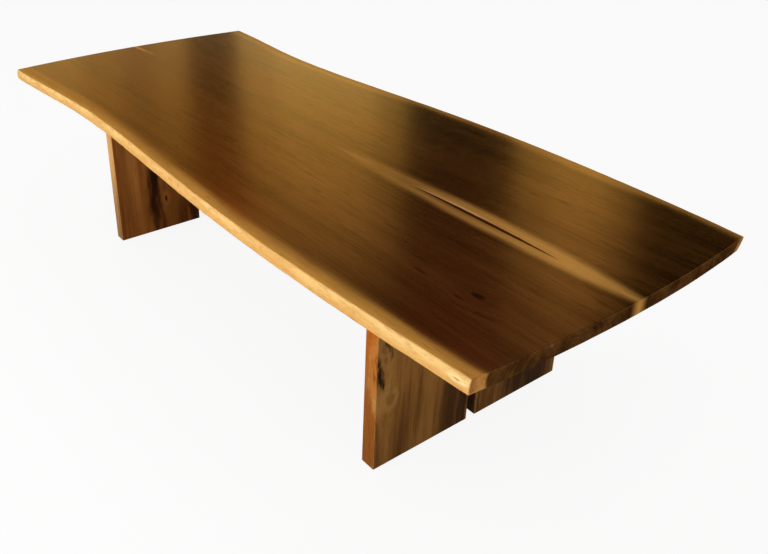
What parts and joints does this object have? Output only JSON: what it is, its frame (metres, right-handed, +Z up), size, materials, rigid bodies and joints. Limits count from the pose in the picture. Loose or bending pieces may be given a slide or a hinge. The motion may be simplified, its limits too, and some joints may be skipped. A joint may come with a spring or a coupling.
{
  "type": "dining table",
  "caption": "Dining table with a live-edge top of book-matched wooden slabs, jointed along its middle, standing on upright plank supports near each end.",
  "frame": {"origin": "on the floor, at mid-length of the top and midway between the planks of the supports", "axes": "+X along the top towards its near end in the picture, -Y towards the side that faces the camera, +Z up"},
  "size_m": [3.046, 1.2799, 0.755],
  "materials": {
    "slab_wood": "dark walnut heartwood with pale sapwood edges, satin oil and varnish",
    "plank_wood": "walnut planks, satin oil",
    "rail_wood": "plain planed hardwood, oiled",
    "tenon_wood": "bare beech",
    "plated_steel": "zinc plated",
    "insert_brass": "machined",
    "glide_nylon": "dark nylon"
  },
  "bodies": {
    "root": {"left_slab": "slab_wood", "right_slab": "slab_wood", "near_left_plank": "plank_wood", "near_right_plank": "plank_wood", "far_left_plank": "plank_wood", "far_right_plank": "plank_wood", "near_outer_bearer": "rail_wood", "near_inner_bearer": "rail_wood", "far_inner_bearer": "rail_wood", "far_outer_bearer": "rail_wood", "centre_batten": "rail_wood", "far_joint_tenons": "tenon_wood", "near_joint_tenon": "tenon_wood", "near_cross_bolts": "plated_steel", "near_cross_washers": "plated_steel", "near_cross_nuts": "plated_steel", "far_cross_bolts": "plated_steel", "far_cross_washers": "plated_steel", "far_cross_nuts": "plated_steel", "near_outer_bolts": "plated_steel", "near_outer_washers": "plated_steel", "near_inner_bolts": "plated_steel", "near_inner_washers": "plated_steel", "far_inner_bolts": "plated_steel", "far_inner_washers": "plated_steel", "far_outer_bolts": "plated_steel", "far_outer_washers": "plated_steel", "batten_bolts": "plated_steel", "batten_washers": "plated_steel", "near_outer_inserts": "insert_brass", "near_inner_inserts": "insert_brass", "far_inner_inserts": "insert_brass", "far_outer_inserts": "insert_brass", "batten_inserts": "insert_brass", "near_glides": "glide_nylon", "far_glides": "glide_nylon"}
  },
  "joints": []
}
